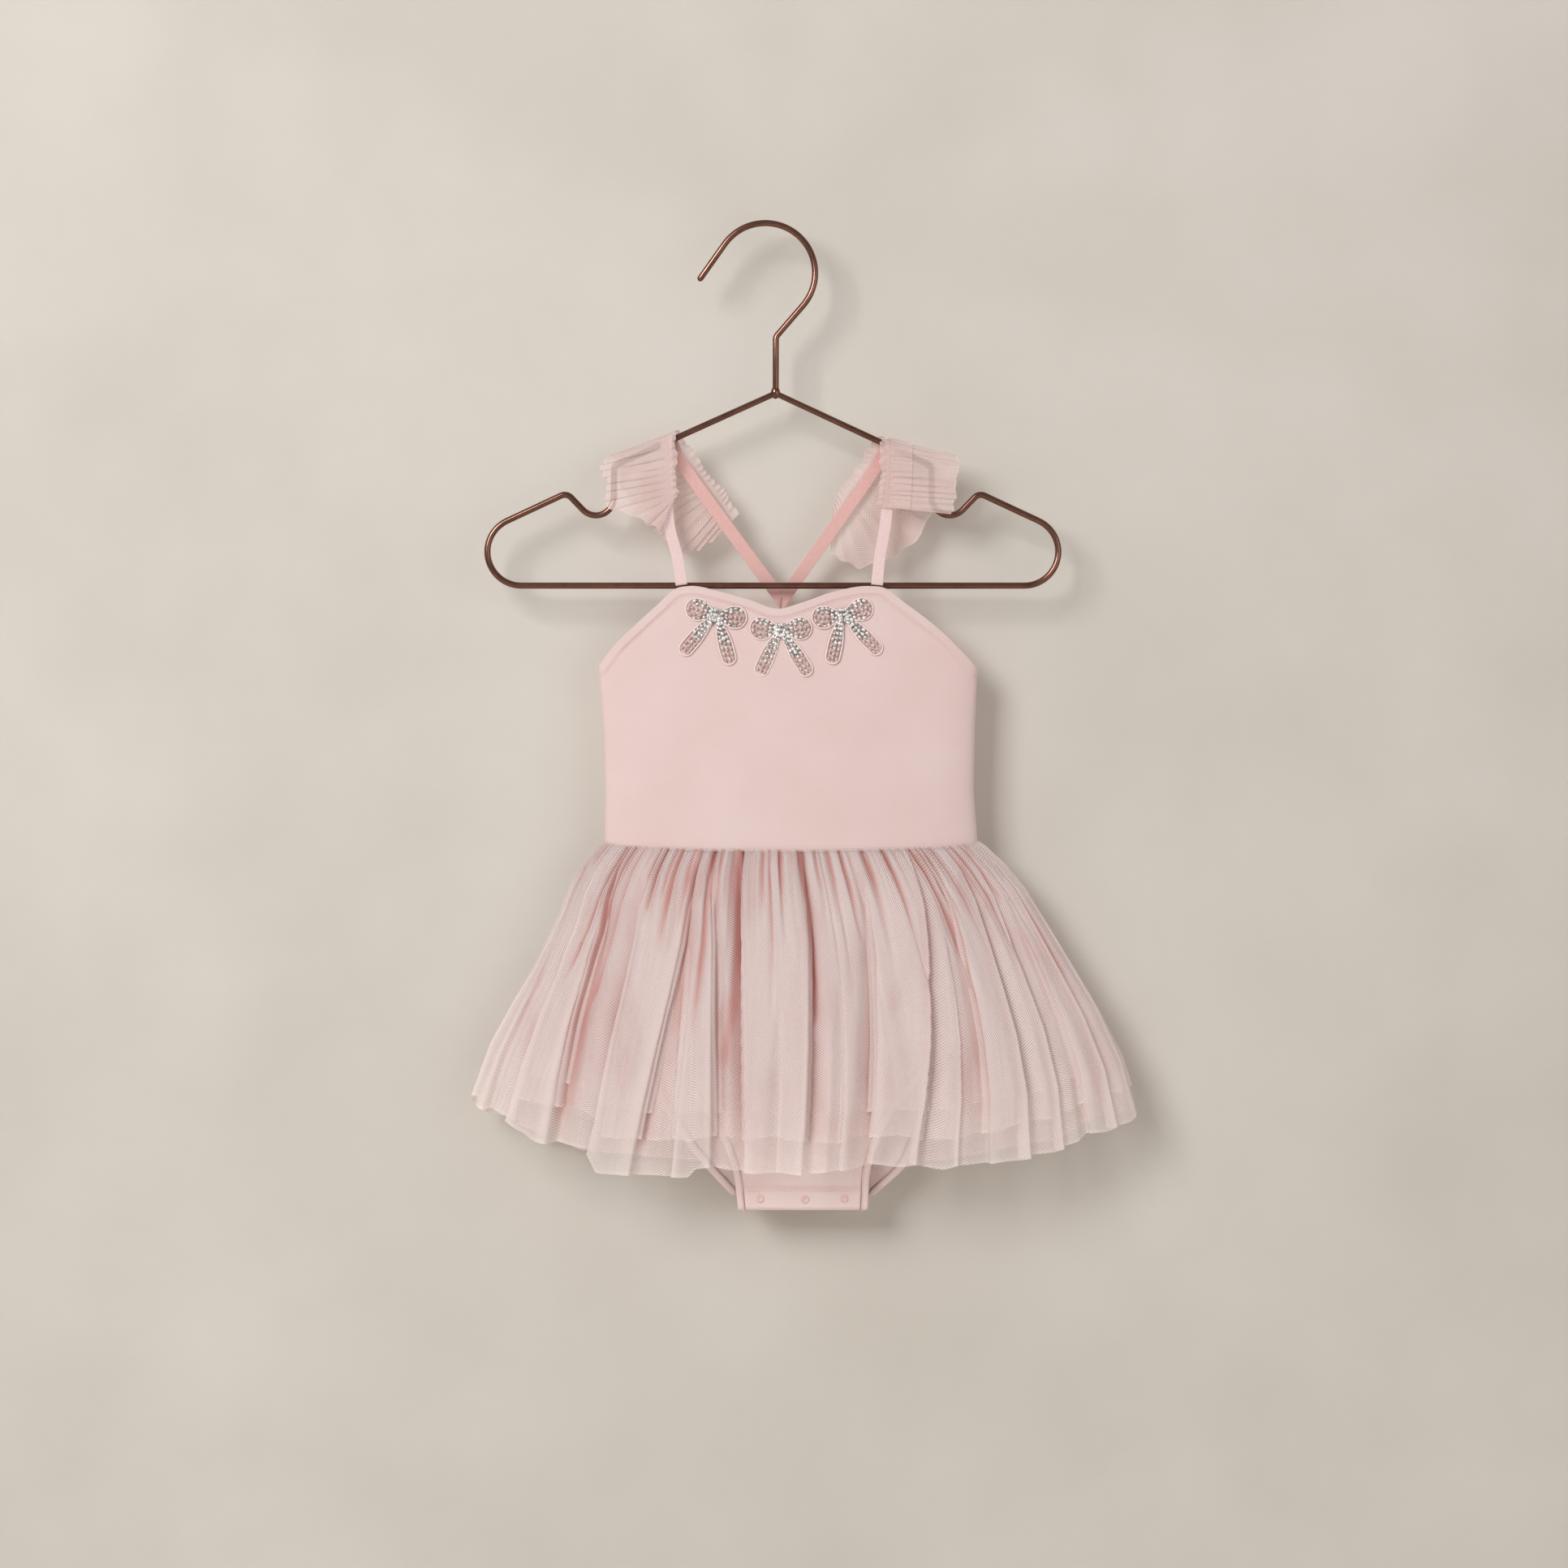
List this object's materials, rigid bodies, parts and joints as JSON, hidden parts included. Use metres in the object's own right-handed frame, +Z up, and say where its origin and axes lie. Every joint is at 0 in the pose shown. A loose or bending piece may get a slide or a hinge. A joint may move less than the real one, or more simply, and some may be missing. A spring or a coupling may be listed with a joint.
{
  "type": "child's tutu leotard on a wire hanger",
  "caption": "Sleeveless knit leotard with a gathered layered tulle skirt, shoulder ruffles and beaded bows, hung flat on a bent wire hanger.",
  "frame": {"origin": "inner top of the hanger's hook, where a nail, peg or rail carries it", "axes": "+X to the right of a person looking at the front, +Y from the front to the back of the garment, +Z up along the hanging garment"},
  "size_m": [0.3495, 0.0649, 0.5237],
  "materials": {
    "knit": "pale pink stretch knit, matt",
    "elastic": "pale pink plush elastic, soft sheen",
    "tulle": "soft pale pink net, sheer",
    "beads": "silver lined and clear pink glass beads",
    "snap": "pale pink moulded press stud",
    "wire": "polished rose gold plated steel wire"
  },
  "bodies": {
    "root": {"bodice_front": "knit", "bodice_back": "knit", "brief_front": "knit", "brief_back": "knit", "leg_binding_left": "knit", "leg_binding_right": "knit", "strap_left": "elastic", "strap_right": "elastic", "ruffle_left": "tulle", "ruffle_right": "tulle", "skirt_outer": "tulle", "skirt_middle": "tulle", "skirt_inner": "tulle", "bow_left": "beads", "bow_middle": "beads", "bow_right": "beads", "snap_1": "snap", "snap_2": "snap", "snap_3": "snap", "hanger_hook": "wire", "hanger_arm_left": "wire", "hanger_arm_right": "wire", "hanger_bar": "wire"}
  },
  "joints": []
}
